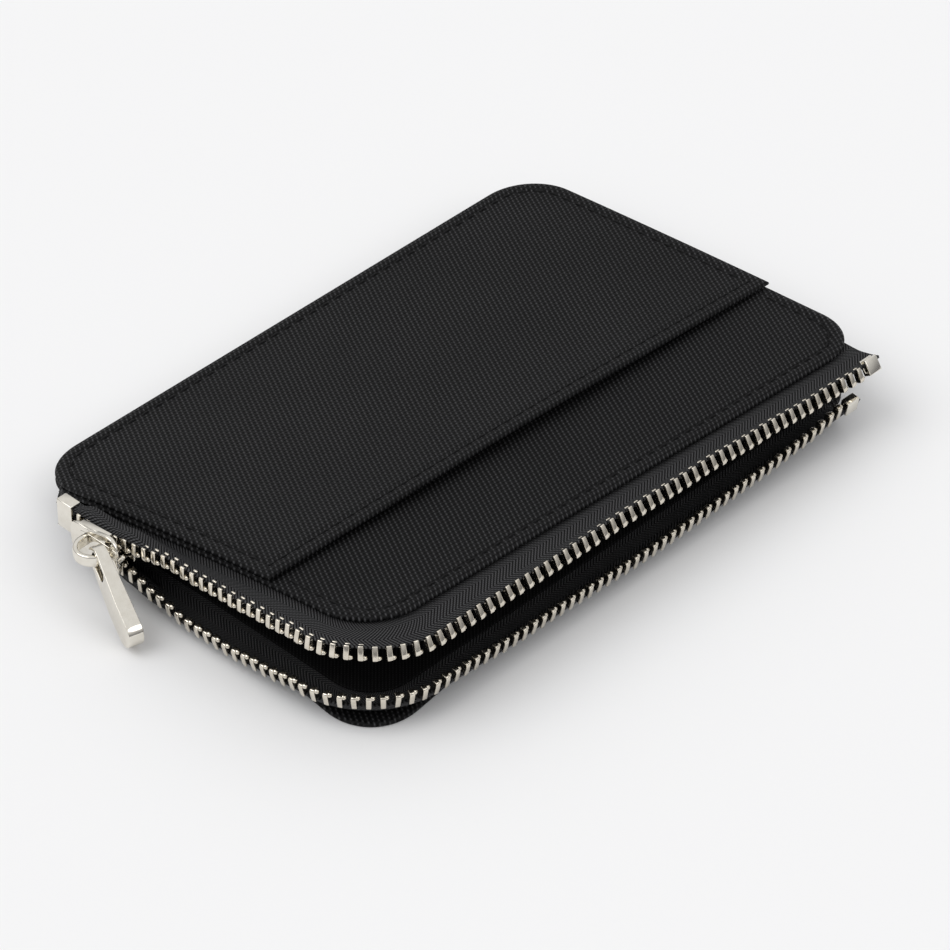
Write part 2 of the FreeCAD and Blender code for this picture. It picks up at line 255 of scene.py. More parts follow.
def strip_caps(rings, n):
    """Quads over both ends of a swept sheet, whose ring runs along one face and back on the other."""
    faces = []
    for k, flip in ((0, False), (rings - 1, True)):
        for i in range(n // 2 - 1):
            quad = (k * n + i, k * n + n - 1 - i, k * n + n - 2 - i, k * n + i + 1)
            faces.append(quad[::-1] if flip else quad)
    return faces


def sheet_ring(line, thickness):
    """Ring round a sheet with this middle line, and how far along the line each vertex is."""
    step = unit(np.gradient(line, axis=0))
    normal = np.column_stack([-step[:, 1], step[:, 0]]) * thickness / 2
    length = lengths_along(line)
    return np.vstack([line + normal, (line - normal)[::-1]]), np.concatenate([length, length[::-1]])


def swept(name, rings, uvs, caps):
    """Object through rings of vertices, closed at both ends."""
    count = len(rings)
    n = len(rings[0])
    piece = new_object(name, np.vstack(rings), ring_faces(count, n) + caps(count, n), uvs)
    fix_normals(piece)
    return piece


# ---- panels
def arc(cx, cy, r, start, end, count):
    angles = np.radians(np.linspace(start, end, count, endpoint=False))
    return np.column_stack([cx + r * np.cos(angles), cy + r * np.sin(angles)])


def run(p, q, count):
    t = np.linspace(0, 1, count, endpoint=False)[:, None]
    return np.array(p) * (1 - t) + np.array(q) * t


def rounded_ring(inset, along, across, turn):
    """The rounded outline moved in by inset. It starts at the middle of the front left arc."""
    x = HALF_LENGTH - inset
    y = HALF_WIDTH - inset
    r = CORNER_RADIUS - inset
    u = x - r
    v = y - r
    return np.vstack([
        arc(-u, -v, r, 225, 270, turn), run((-u, -y), (u, -y), along),
        arc(u, -v, r, 270, 360, 2 * turn), run((x, -v), (x, v), across),
        arc(u, v, r, 0, 90, 2 * turn), run((u, y), (-u, y), along),
        arc(-u, v, r, 90, 180, 2 * turn), run((-x, v), (-x, -v), across),
        arc(-u, -v, r, 180, 225, turn),
    ])


def pocket_ring(inset, along, across, turn, front=SLIP_MOUTH_Y):
    """Outline of a layer that ends in a straight front edge, moved in by inset."""
    x = HALF_LENGTH - inset
    y = HALF_WIDTH - inset
    r = CORNER_RADIUS - inset
    u = x - r
    v = y - r
    low = front + inset
    return np.vstack([
        run((-x, low), (x, low), along + 2 * turn), run((x, low), (x, v), across + turn),
        arc(u, v, r, 0, 90, 2 * turn), run((u, y), (-u, y), along),
        arc(-u, v, r, 90, 180, 2 * turn), run((-x, v), (-x, low), across + turn),
    ])


def coons(ring, nu, nv):
    """Inner points of a grid whose border is the ring, in rows from front to back."""
    front = ring[:nu + 1]
    right = ring[nu:nu + nv + 1]
    back = ring[nu + nv:2 * nu + nv + 1][::-1]
    left = np.vstack([ring[2 * nu + nv:], ring[:1]])[::-1]
    u = np.linspace(0, 1, nu + 1)[None, :, None]
    v = np.linspace(0, 1, nv + 1)[:, None, None]
    ruled = (1 - v) * front[None] + v * back[None] + (1 - u) * left[:, None] + u * right[:, None]
    corners = ((1 - u) * (1 - v) * front[0] + u * (1 - v) * front[-1]
               + (1 - u) * v * back[0] + u * v * back[-1])
    return ruled - corners


def layer_mesh(name, ring_of, counts, top, thickness, profile, border=3.6):
    """One fabric layer: a grid inside, and rings that roll over its edge.

    top(x, y, inset) is the height of its upper face, and profile lists the rings' insets.
    """
    along, across, turn = counts
    nu = along + 2 * turn
    nv = across + 2 * turn
    radius = thickness / 2
    insets = (border, *profile)
    rolled = np.radians([90, 65, 40, 20, 0, -20, -40, -65, -90])
    rings = [(inset, 1.0) for inset in insets]
    rings += [(radius * (1 - math.cos(angle)), math.sin(angle)) for angle in rolled]
    rings += [(inset, -1.0) for inset in insets[::-1]]
    outer = ring_of(0.0, *counts)
    n = len(outer)
    verts = []
    uvs = []
    for inset, side in rings:
        plan = ring_of(inset, *counts)
        upper = top(plan[:, 0], plan[:, 1], np.full(n, inset))
        verts.append(np.column_stack([plan, upper - radius + side * radius]))
        uvs.append(outer + (plan - outer) * (1 if side > 0 else -1))
    faces = ring_faces(len(rings), n)
    inner = coons(ring_of(border, *counts), nu, nv)[1:-1, 1:-1].reshape(-1, 2)
    depth = np.full(len(inner), border + 1.0)
    for side in (1, -1):
        z = top(inner[:, 0], inner[:, 1], depth) - radius + side * radius
        base = sum(len(v) for v in verts)
        verts.append(np.column_stack([inner, z]))
        uvs.append(inner)
        grid = np.zeros((nv + 1, nu + 1), int)
        grid[1:-1, 1:-1] = base + np.arange(len(inner)).reshape(nv - 1, nu - 1)
        start = 0 if side > 0 else (len(rings) - 1) * n
        grid[0, :] = start + np.arange(nu + 1)
        grid[:, -1] = start + nu + np.arange(nv + 1)
        grid[-1, ::-1] = start + nu + nv + np.arange(nu + 1)
        grid[::-1, 0] = start + (2 * nu + nv + np.arange(nv + 1)) % n
        for r in range(nv):
            for c in range(nu):
                quad = (grid[r, c], grid[r, c + 1], grid[r + 1, c + 1], grid[r + 1, c])
                faces.append(tuple(int(q) for q in (quad if side > 0 else quad[::-1])))
    piece = new_object(name, np.vstack(verts), faces, np.vstack(uvs))
    fix_normals(piece)
    return piece


def edge_relief(inset, raised, channel):
    """A raised turned edge with the stitch line sunk beside it."""
    roll = raised * np.exp(-((inset - 1.25) / 0.75) ** 2)
    sunk = channel * np.exp(-((inset - STITCH_INSET) / 0.38) ** 2)
    return roll - sunk


def hem_lift(x, y):
    """How far the slip pocket's mouth stands open, most at its middle."""
    u = (x + HALF_LENGTH) / LENGTH
    open_share = np.sin(np.pi * np.clip(u, 0, 1)) ** 1.3
    return 0.75 * open_share * np.exp(-((y - SLIP_MOUTH_Y) / 9.0) ** 2)


def upper_panel_height(x, y, inset):
    dip = 0.45 * np.sin(np.pi * np.clip((x + HALF_LENGTH) / LENGTH, 0, 1)) ** 1.5
    dip = dip * np.exp(-((y - SLIP_MOUTH_Y + 1.0) / 5.0) ** 2)
    swell = smooth(SLIP_MOUTH_Y - 1.0, SLIP_MOUTH_Y - 6.0, y)
    return panel_top(x, y) - dip + swell * (unevenness(x, y) * 0.6 + edge_relief(inset, 0.22, 0.2))


def slip_pocket_height(x, y, inset):
    soft = unevenness(x, y) * smooth(0.5, 6.0, inset)
    return panel_top(x, y) + POCKET_TOP + hem_lift(x, y) + soft + edge_relief(inset, 0.12, 0.2)


# ---- zip tapes
def chain_frame(s):
    """Point on the panel's edge at chain distance s, and the outward direction there."""
    if s <= LEFT_RUN:
        return np.array([-HALF_LENGTH, HALF_WIDTH - CORNER_RADIUS - s, 0.0]), np.array([-1.0, 0.0, 0.0])
    if s <= FRONT_START:
        angle = (s - LEFT_RUN) / CHAIN_RADIUS
        out = np.array([-math.cos(angle), -math.sin(angle), 0.0])
        centre = np.array([-HALF_LENGTH + CORNER_RADIUS, -HALF_WIDTH + CORNER_RADIUS, 0.0])
        return centre + out * CORNER_RADIUS, out
    x = -HALF_LENGTH + CORNER_RADIUS + s - FRONT_START
    return np.array([x, -HALF_WIDTH, 0.0]), np.array([0.0, -1.0, 0.0])


def upper_root(s):
    """Height of the upper chain, which rides up with the panel where the zip is open."""
    x, y = chain_frame(s)[0][:2]
    free = float(smooth(CLOSED_UNTIL - 2.0, OPEN_FROM - 1.0, s))
    return height_along(UPPER_ROOT, s) + free * (panel_top(x, y) - cad_panel_top(x, y))


def mix(a, b, t):
    return np.array(a) * (1 - t) + np.array(b) * t


def tape_section(s, sewn, clipped, held, lying):
    """Section at chain distance s: clipped by the bottom stop, then held in the slider, then
    lying free."""
    near = mix(sewn + clipped, sewn + held, float(smooth(7.0, 9.0, s)))
    return mix(near, sewn + lying, float(smooth(CLOSED_UNTIL, OPEN_FROM, s)))


def upper_section(s):
    """Upper tape from under the panel to the teeth, as (out, z) points."""
    edge, out = chain_frame(s)
    inner = edge - out * TAPE_UNDER_PANEL
    middle = FABRIC + 0.05 + TAPE / 2
    z_in = panel_top(inner[0], inner[1]) - middle
    z_edge = panel_top(edge[0], edge[1]) - middle
    root = upper_root(s)
    fall = root - z_edge
    return tape_section(
        s, [(-TAPE_UNDER_PANEL, z_in), (0.6, z_edge - 0.1)],
        [(2.7, root - 1.0), (4.4, root + 0.1), (5.2, root - 0.3)],
        [(2.7, root + 0.1), (4.7, root + 0.7), (5.3, root)],
        [(2.2, z_edge + fall * 0.2), (3.6, z_edge + fall * 0.55), (4.8, root)])


def lower_section(s):
    """Lower tape from above the bottom panel to the teeth, as (out, z) points."""
    flat = FABRIC + 0.05 + TAPE / 2
    root = height_along(LOWER_ROOT, s)
    rise = root - flat
    return tape_section(
        s, [(-TAPE_UNDER_PANEL, flat), (0.6, flat)],
        [(2.7, root - 1.2), (4.4, root - 0.4), (5.2, root + 0.2)],
        [(2.7, root - 1.6), (4.8, root - 1.9), (5.3, root)],
        [(2.6, flat + rise * 0.25), (4.4, flat + rise * 0.65), (5.2, root)])


def rounded_section(points, steps):
    """A smooth line through the section's points."""
    points = np.asarray(points, float)
    padded = np.vstack([2 * points[0] - points[1], points, 2 * points[-1] - points[-2]])
    line = []
    for k in range(len(points) - 1):
        line += spline(*padded[k:k + 4], steps)
    return np.array(line + [points[-1]])


def tape_mesh(name, section, last):
    """The woven tape, as thick as it is, swept along the chain."""
    rings = []
    uvs = []
    for s in np.linspace(TAPE_START, last, int((last - TAPE_START) / TAPE_STEP)):
        edge, out = chain_frame(s)
        ring, across = sheet_ring(rounded_section(section(s), 4), TAPE)
        rings.append(edge + out * ring[:, :1] + UP * ring[:, 1:])
        uvs.append(np.column_stack([across, np.full(len(ring), s)]))
    return swept(name, rings, np.vstack(uvs), strip_caps)


# ---- teeth
def tooth_template():
    """One metal tooth as (along, reach, thickness): two legs over the tape, a head and its nub."""
    leg = 0.34
    overlap = 0.4
    grip = TAPE / 2 - 0.02
    wide = TAPE / 2 + leg
    tip = TOOTH_LENGTH - overlap
    half = [(-overlap, wide), (1.2, wide + 0.08), (1.7, 0.62), (tip, 0.42)]
    slot = [(-overlap, -grip), (0.25, -grip), (0.25, grip), (-overlap, grip)]
    outline = half + [(r, -t) for r, t in half[::-1]] + slot
    data = bmesh.new()
    ring = [data.verts.new((-TOOTH_WIDTH / 2, r, t)) for r, t in outline]
    face = data.faces.new(ring)
    made = bmesh.ops.extrude_face_region(data, geom=[face])
    moved = [v for v in made["geom"] if isinstance(v, bmesh.types.BMVert)]
    bmesh.ops.translate(data, verts=moved, vec=(TOOTH_WIDTH, 0, 0))
    bmesh.ops.recalc_face_normals(data, faces=data.faces)
    sharp = [e for e in data.edges if e.is_manifold and e.calc_face_angle() > math.radians(40)]
    bmesh.ops.bevel(data, geom=sharp, offset=0.13, segments=2, profile=0.6, affect="EDGES")
    nub = bmesh.ops.create_uvsphere(data, u_segments=8, v_segments=6, radius=0.5)
    for v in nub["verts"]:
        v.co = Vector((v.co.x * 1.05 + 0.48, v.co.y * 0.85 + 1.62, v.co.z * 0.9))
    data.verts.index_update()
    verts = np.array([v.co[:] for v in data.verts])
    faces = [tuple(v.index for v in f.verts) for f in data.faces]
    data.free()
    return verts, faces


TOOTH = tooth_template()


def chain_axes(section, s, tilt):
    """Where the tape ends at chain distance s, and the directions along the chain, out at tilt
    degrees up, and across both."""
    edge, out = chain_frame(s)
    root_d, root_z = section(s)[-1]
    along = np.cross(UP, out)
    reach = out * math.cos(math.radians(tilt)) + UP * math.sin(math.radians(tilt))
    return edge + out * root_d + UP * root_z, along, reach, np.cross(reach, along)


def placed_tooth(section, s, tilt):
    """The tooth's template moved to chain distance s and pointed along tilt."""
    origin, along, reach, across = chain_axes(section, s, tilt)
    turn = math.radians(rng.normal(0, 1.6))
    side = along * math.cos(turn) + reach * math.sin(turn)
    axis = reach * math.cos(turn) - along * math.sin(turn)
    verts, faces = TOOTH
    return origin + verts[:, :1] * side + verts[:, 1:2] * axis + verts[:, 2:] * across, faces


def upper_tilt(s):
    """The upper teeth hang straight down on the left, and lean outwards along the front."""
    return -90.0 + 28.0 * float(smooth(LEFT_RUN - 14.0, FRONT_START + 4.0, s))


def lower_tilt(s):
    """The lower teeth stand up, leaning outwards a little where the zip is open."""
    return 90.0 - 11.0 * float(smooth(CLOSED_UNTIL, OPEN_FROM, s))


def teeth_positions(first, last, tilt):
    count = int((last - first) / TOOTH_PITCH) + 1
    spots = [first + k * TOOTH_PITCH for k in range(count)]
    return [(s, tilt(s)) for s in spots]


def teeth_mesh(name, section, spots):
    verts, faces = join_parts([placed_tooth(section, s, tilt) for s, tilt in spots])
    return new_object(name, verts, faces)


# ---- stitching
def stitch_parts(points, normals, directions):
    """Thread bars that rise out of the fabric and dive back into it."""
    sides = 6
    rings = 6
    parts = []
    for point, normal, along in zip(points, normals, directions):
        side = np.cross(normal, along)
        verts = []
        for k in range(rings):
            t = k / (rings - 1)
            rise = math.sin(math.pi * t)
            centre = point + along * (t - 0.5) * STITCH_LENGTH + normal * (rise * 0.26 - 0.17)
            r = STITCH_RADIUS * (0.55 + 0.45 * math.sqrt(max(rise, 0.0)))
            for a in np.linspace(0, 2 * math.pi, sides, endpoint=False):
                verts.append(centre + r * (math.cos(a) * side + math.sin(a) * normal))
        parts.append((np.array(verts), ring_faces(rings, sides) + flat_caps(rings, sides)))
    return parts


def walk(points, pitch):
    """Even steps along a plan line: the middle of each step and its direction."""
    points = np.asarray(points, float)
    reach = lengths_along(points)
    count = int(reach[-1] / pitch)
    spots = (np.arange(count) + 0.5) * reach[-1] / count
    behind, centres, ahead = (
        np.column_stack([np.interp(spots + shift, reach, points[:, i]) for i in range(2)])
        for shift in (-0.4, 0.0, 0.4))
    return centres, unit(ahead - behind)


def sew(name, line, height, body, *nodes, facing=1.0):
    """A row of stitches along a plan line, on the face height(x, y), up or down."""
    centres, ways = walk(line, STITCH_PITCH)
    points = []
    normals = []
    directions = []
    for (x, y), (dx, dy) in zip(centres, ways):
        slope_x = (height(x + 0.2, y) - height(x - 0.2, y)) / 0.4
        slope_y = (height(x, y + 0.2) - height(x, y - 0.2)) / 0.4
        normals.append(unit(np.array([-slope_x, -slope_y, 1.0])) * facing)
        wobble = rng.normal(0, 0.03)
        rise = slope_x * dx + slope_y * dy
        directions.append(unit(np.array([dx - dy * wobble, dy + dx * wobble, rise])))
        points.append(np.array([x, y, height(x, y)]))
    row = new_object(name, *join_parts(stitch_parts(points, normals, directions)))
    dress(row, body, "thread", thread, *nodes)


# ---- metal pieces
def extruded(name, outline, direction, depth, hole=None):
    """Solid from a closed outline of 3-D points, extruded; hole is an inner outline."""
    data = bmesh.new()
    loops = []
    for ring in (outline,) if hole is None else (outline, hole):
        verts = [data.verts.new(tuple(p)) for p in ring]
        loops.append([data.edges.new((a, b)) for a, b in zip(verts, verts[1:] + verts[:1])])
    if hole is None:
        data.faces.new([e.verts[0] for e in loops[0]])
    else:
        bmesh.ops.triangle_fill(data, use_beauty=True, edges=loops[0] + loops[1])
    made = bmesh.ops.extrude_face_region(data, geom=list(data.faces))
    moved = [v for v in made["geom"] if isinstance(v, bmesh.types.BMVert)]
    bmesh.ops.translate(data, verts=moved, vec=tuple(np.asarray(direction, float) * depth))
    bmesh.ops.recalc_face_normals(data, faces=data.faces)
    data.verts.index_update()
    verts = np.array([v.co[:] for v in data.verts])
    faces = [tuple(v.index for v in f.verts) for f in data.faces]
    data.free()
    return new_object(name, verts, faces)


def merge(name, pieces):
    """Joins finished pieces into one object."""
    data = bmesh.new()
    for piece in pieces:
        data.from_mesh(piece.data)
    mesh = bpy.data.meshes.new(name)
    data.to_mesh(mesh)
    data.free()
    for piece in pieces:
        bpy.data.objects.remove(piece)
    mesh.polygons.foreach_set("use_smooth", [True] * len(mesh.polygons))
    return add_object(name, mesh)


def closed_curve(points, steps):
    """Smooth closed line through points."""
    points = np.asarray(points, float)
    n = len(points)
    line = []
    for k in range(n):
        line += spline(*(points[(k + o) % n] for o in (-1, 0, 1, 2)), steps)
    return np.array(line)


def slider_piece():
    """Two wings with curled edges and the wedge that joins them."""
    low, high = box_mm("slider_body")
    front, back = low[1], high[1]
    middle = (front + back) / 2
    centre_z = (low[2] + high[2]) / 2
    half = (high[2] - low[2]) / 2
    waist = 0.95
    parts = []
    for x0, x1, shrink in ((low[0], low[0] + 0.75, 0.0), (high[0] - 0.7, high[0], 0.5)):
        wide = half - shrink
        narrow = wide - waist
        side = [(back, narrow - 1.2), (back - 1.2, narrow), (middle + 1.0, narrow + 0.1),
                (front + 3.4, wide - 0.15), (front + 1.6, wide - 0.1), (front + 0.3, wide - 1.3),
                (front, 1.2)]
        shape = side + [(front + 0.5, 0.0)] + [(y, -z) for y, z in side[::-1]]
        ring = closed_curve([(x0, y, centre_z + z) for y, z in shape], 3)
        plate = extruded("plate", ring, (1, 0, 0), x1 - x0)
        bevel(plate, 0.2, 3)
        parts.append(plate)
    for side in (-1, 1):
        z = centre_z + side * (half - waist)
        ring = [(low[0] + 0.3, y, z + side * rise) for y, rise in (
            (middle - 2.6, 0.62), (back - 1.6, 0.05), (back - 1.6, -0.5), (middle - 2.6, 0.1))]
        curl = extruded("curl", ring, (1, 0, 0), 1.25)
        bevel(curl, 0.15, 2)
        parts.append(curl)
    wedge = [(low[0] + 0.4, front + y, centre_z + z)
             for y, z in ((0.25, -0.5), (0.25, 0.5), (1.5, 0.0))]
    parts.append(extruded("neck", wedge, (1, 0, 0), high[0] - low[0] - 0.8))
    # the pad that the crown is riveted to
    pad_low, pad_high = box_mm("slider_crown")
    z0 = (pad_low[2] + pad_high[2]) / 2
    pad = closed_curve([(low[0] + 0.2, y, z0 + z) for y, z in (
        (pad_low[1] - 0.3, -0.9), (pad_high[1] + 0.5, -0.9), (pad_high[1] + 0.9, 0.0),
        (pad_high[1] + 0.5, 0.9), (pad_low[1] - 0.3, 0.9), (pad_low[1] - 0.5, 0.0))], 4)
    raised = extruded("pad", pad, (-1, 0, 0), 0.3)
    bevel(raised, 0.16, 2)
    parts.append(raised)
    return merge("slider_shell", parts)


def crown_piece():
    """Flat metal band that arches out of the slider's wing."""
    low, high = box_mm("slider_crown")
    radius = (high[1] - low[1] - CROWN_WIRE) / 2
    x = low[0] + radius + CROWN_WIRE / 2
    y = (low[1] + high[1]) / 2
    foot = high[0] + 0.25
    path = [(foot, y - radius)]
    path += [(x - radius * math.sin(a), y - radius * math.cos(a)) for a in np.linspace(0, math.pi, 25)]
    path += [(foot, y + radius)]
    path = np.array(path)
    way = unit(np.gradient(path, axis=0))
    across = np.column_stack([-way[:, 1], way[:, 0]])
    z0 = (low[2] + high[2]) / 2
    half = (high[2] - low[2]) / 2
    rings = []
    for point, normal in zip(path, across):
        ring = []
        for a in np.linspace(0, 2 * math.pi, 16, endpoint=False):
            round_cos = math.copysign(abs(math.cos(a)) ** 0.55, math.cos(a))
            round_sin = math.copysign(abs(math.sin(a)) ** 0.45, math.sin(a))
            ring.append((*(point + normal * round_cos * CROWN_WIRE / 2), z0 + round_sin * half))
        rings.append(ring)
    return swept("crown_arch", rings, None, flat_caps)


def pull_piece():
    """Blade on edge, with an eye round the crown and a rounded tip."""
    crown_low, crown_high = box_mm("slider_crown")
    radius = (crown_high[1] - crown_low[1]) / 2
    yaw = math.radians(17.0)
    droop = math.radians(31.0)
    width = 4.8
    thickness = 1.9
    swelling = 0.55
    length = 12.0
    head = 2.3
    neck = 4.2
    shoulder = length - 4.0
    outward = np.array([-math.sin(yaw), -math.cos(yaw), 0.0])
    length_axis = outward * math.cos(droop) - UP * math.sin(droop)
    width_axis = outward * math.sin(droop) + UP * math.cos(droop)
    flat_axis = np.cross(length_axis, width_axis)
    centre = (crown_low + crown_high) / 2
    centre[0] = crown_low[0] + radius
    origin = centre + outward * (radius - CROWN_WIRE / 2)
    side = width / 2
    head_side = side - 0.25
    head_x = head_side - head
    eye = 1.1

    def place(points):
        near = origin - flat_axis * thickness / 2
        return [near + l * length_axis + w * width_axis for l, w in points]

    outline = [(head_x, -head_side), (neck, -side + 0.12), (shoulder, -side), (length, -side)]
    outline += [(length + side * math.cos(a), side * math.sin(a))
                for a in np.radians(range(-75, 90, 15))]
    outline += [(length, side), (shoulder, side), (neck, side - 0.12), (head_x, head_side)]
    outline += [(head_x + head_side * math.cos(a), head_side * math.sin(a))
                for a in np.radians(range(105, 270, 15))]
    slot = [(2.3 + eye * math.cos(a), 1.2 * math.sin(a)) for a in np.radians(range(-90, 91, 18))]
    slot += [(-eye, 1.2), (-1.2, 1.0), (-1.2, -1.0), (-eye, -1.2)]
    blade = extruded("pull_blade", place(outline), flat_axis, thickness, place(slot))
    # the outer face swells towards the tip, past the head that turns beside the slider
    for vertex in blade.data.vertices:
        offset = np.array(vertex.co) / MM - origin
        if offset @ flat_axis > 0:
            swell = swelling * float(smooth(2.2, 6.0, offset @ length_axis))
            vertex.co = Vector((origin + offset + flat_axis * swell) * MM)
    bevel(blade, 0.38, 4, 40)
    return blade


def clip_piece(name, origin, along, reach, across, length, legs, grip):
    """Folded metal clip: a web with two legs over the tape. Legs run back from the web."""
    half = grip / 2
    t = 0.5
    side = [(0.0, half), (-legs, half), (-legs, half - t), (-t, half - t)]
    profile = side + [(r, -c) for r, c in side[::-1]]
    ring = [origin + reach * r + across * c - along * length / 2 for r, c in profile]
    piece = extruded(name, ring, along, length)
    bevel(piece, 0.16, 3)
    return piece


def bottom_stop_piece():
    """Square clip round both rows at the closed end of the zip."""
    low, high = box_mm("bottom_stop")
    length = 3.3
    grip = 5.2
    centre = np.array([low[0] + 1.4, low[1] + length / 2, high[2] - grip / 2])
    return clip_piece("bottom_stop_clip", centre, np.array([0, 1.0, 0]), np.array([-1.0, 0, 0]),
                      UP, length, 2.0, grip)


def top_stop_piece(name, s, section, tilt):
    """Small clip over the tape's edge, just past the last tooth."""
    root, along, reach, across = chain_axes(section, s, tilt)
    return clip_piece(name, root + reach * 1.7, along, reach, across, 2.7, 2.6, 1.6)


# ---- material nodes
class Graph:
    """Short way to write a material's nodes."""

    def __init__(self, name):
        self.material = bpy.data.materials.new(name)
        self.material.use_nodes = True
        self.tree = self.material.node_tree
        self.shader = self.tree.nodes["Principled BSDF"]

    def node(self, kind, **settings):
        made = self.tree.nodes.new(kind)
        for key, value in settings.items():
            setattr(made, key, value)
        return made

    def put(self, value, socket):
        if isinstance(value, (int, float, tuple)):
            socket.default_value = value
        else:
            self.tree.links.new(value, socket)

    def math(self, operation, a, b=None, c=None):
        made = self.node("ShaderNodeMath", operation=operation)
        for value, socket in zip((a, b, c), made.inputs):
            if value is not None:
                self.put(value, socket)
        return made.outputs[0]

    def plus(self, a, b):
        return self.math("ADD", a, b)

    def times(self, a, b):
        return self.math("MULTIPLY", a, b)

    def scaled(self, value, factor, offset):
        return self.math("MULTIPLY_ADD", value, factor, offset)

    def arches(self, value):
        """Rows of round ridges, one for each whole number."""
        return self.math("ABSOLUTE", self.math("SINE", self.times(value, math.pi)))

    def cloth(self):
        """The flat fabric's two coordinates, in millimetres."""
        where = self.node("ShaderNodeUVMap", uv_map="cloth")
        split = self.node("ShaderNodeSeparateXYZ")
        self.tree.links.new(where.outputs["UV"], split.inputs[0])
        return split.outputs[0], split.outputs[1], where.outputs["UV"]

    def noise(self, scale, detail=3.0, where=None, rough=0.5):
        made = self.node("ShaderNodeTexNoise")
        made.inputs["Scale"].default_value = scale
        made.inputs["Detail"].default_value = detail
        made.inputs["Roughness"].default_value = rough
        if where is None:
            where = self.node("ShaderNodeTexCoord").outputs["Object"]
        self.tree.links.new(where, made.inputs["Vector"])
        return made.outputs[0]

    def colours(self, factor, dark, light):
        made = self.node("ShaderNodeMix", data_type="RGBA")
        self.put(factor, made.inputs[0])
        made.inputs[6].default_value = (*dark, 1)
        made.inputs[7].default_value = (*light, 1)
        return made.outputs[2]

    def bump(self, height, strength, distance, under=None):
        made = self.node("ShaderNodeBump")
        made.inputs["Strength"].default_value = strength
        made.inputs["Distance"].default_value = distance
        self.tree.links.new(height, made.inputs["Height"])
        if under is not None:
            self.tree.links.new(under, made.inputs["Normal"])
        return made.outputs[0]

    def finish(self, colour, roughness, normal, **constants):
        self.put(colour, self.shader.inputs["Base Color"])
        self.put(roughness, self.shader.inputs["Roughness"])
        self.put(normal, self.shader.inputs["Normal"])
        for key, value in constants.items():
            self.shader.inputs[key.replace("_", " ")].default_value = value
        return self.material


def weave_height(g, pitch_u, pitch_v):
    """Plain weave: at each crossing one thread arches over the other."""
    u, v, where = g.cloth()
    wobble = g.times(g.math("SUBTRACT", g.noise(0.35, 2.0, where), 0.5), 0.35)
    a = g.math("DIVIDE", g.plus(u, wobble), pitch_u)
    b = g.math("DIVIDE", g.plus(v, wobble), pitch_v)
    parity = g.math("FLOORED_MODULO", g.plus(g.math("FLOOR", a), g.math("FLOOR", b)), 2.0)
    arch_a = g.arches(a)
    arch_b = g.arches(b)
    diagonal = g.math("COSINE", g.times(g.math("SUBTRACT", a, b), math.pi))
    ridge = g.scaled(diagonal, -0.4, 0.6)
    over = g.times(g.math("POWER", arch_a, 0.6), g.scaled(arch_b, 0.55, 0.45))
    over = g.times(over, ridge)
    under = g.times(g.math("POWER", arch_b, 0.6), g.scaled(arch_a, 0.55, 0.45))
    under = g.times(under, 0.62)
    crossing = g.scaled(g.math("SUBTRACT", over, under), parity, under)
    line = g.times(ridge, g.scaled(arch_b, 0.35, 0.65))
    return g.plus(g.times(crossing, 0.48), g.times(line, 0.52)), where


def woven(name, pitch_u, pitch_v, dark, light, depth, roughness):
    """Black nylon, its thread tops painted lighter and the hollows between them darker: painted
    highlight and painted shade.
    """
    g = Graph(name)
    height, where = weave_height(g, pitch_u, pitch_v)
    fibres = g.noise(5.0, 2.0, where, 0.7)
    patches = g.noise(0.05, 3.0, where)
    # painted highlight and painted shade: the colour follows the weave's height, lighter on thread tops
    # and darker in the hollows; the fibres and slow patches add real tone
    shade = g.times(g.math("POWER", height, 2.6), g.scaled(fibres, 0.8, 0.55))
    shade = g.times(shade, g.scaled(patches, 0.5, 0.75))
    colour = g.colours(shade, dark, light)
    rough = g.scaled(fibres, 0.15, roughness)
    fine = g.bump(fibres, 0.25, 0.05 * MM)
    normal = g.bump(height, 1.0, depth * MM, fine)
    return g.finish(colour, rough, normal, Specular_IOR_Level=0.1)


def herringbone(name, dark, light):
    """Zip tape: fine twill lines that turn back and forth across the tape."""
    g = Graph(name)
    u, v, where = g.cloth()
    zigzag = g.math("PINGPONG", u, 2.1)
    ridge = g.arches(g.math("DIVIDE", g.scaled(zigzag, 1.15, v), 0.66))
    strand = g.arches(g.math("DIVIDE", u, 0.31))
    height = g.times(g.math("POWER", ridge, 0.7), g.scaled(strand, 0.35, 0.65))
    fibres = g.noise(5.5, 2.0, where, 0.7)
    # painted highlight and painted shade: the colour follows the twill's height, lighter on the ridges
    # and darker in the grooves
    shade = g.times(g.math("POWER", height, 2.6), g.scaled(fibres, 0.7, 0.6))
    colour = g.colours(shade, dark, light)
    rough = g.scaled(fibres, 0.15, 0.6)
    fine = g.bump(fibres, 0.2, 0.04 * MM)
    normal = g.bump(height, 0.9, 0.14 * MM, fine)
    return g.finish(colour, rough, normal, Specular_IOR_Level=0.09)


def nickel(name, base, worn, roughness, grain):
    """Bright nickel with fine grain and slightly duller patches."""
    g = Graph(name)
    patches = g.noise(900.0, 3.0)
    scratches = g.noise(grain, 4.0, None, 0.65)
    colour = g.colours(g.scaled(patches, 1.4, -0.25), worn, base)
    rough = g.scaled(scratches, 0.08, roughness)
    normal = g.bump(scratches, 0.06, 0.02 * MM)
    return g.finish(colour, rough, normal, Metallic=1.0)


def thread_material():
    """Twisted sewing thread, its plies running across its length."""
    g = Graph("black_thread")
    where = g.node("ShaderNodeTexCoord").outputs["Object"]
    split = g.node("ShaderNodeSeparateXYZ")
    g.tree.links.new(where, split.inputs[0])
    twist = g.plus(g.plus(split.outputs[0], split.outputs[1]), split.outputs[2])
    ply = g.math("SINE", g.times(twist, 2 * math.pi / (0.35 * MM)))
    height = g.scaled(ply, 0.5, 0.5)
    fuzz = g.noise(3500.0, 2.0)
    # painted highlight and painted shade: the ply ridges are coloured lighter than the grooves between
    # them, with random fuzz
    colour = g.colours(g.times(height, fuzz), (0.001, 0.001, 0.0011), (0.016, 0.016, 0.017))
    return g.finish(colour, 0.5, g.bump(height, 0.6, 0.05 * MM), Specular_IOR_Level=0.12)


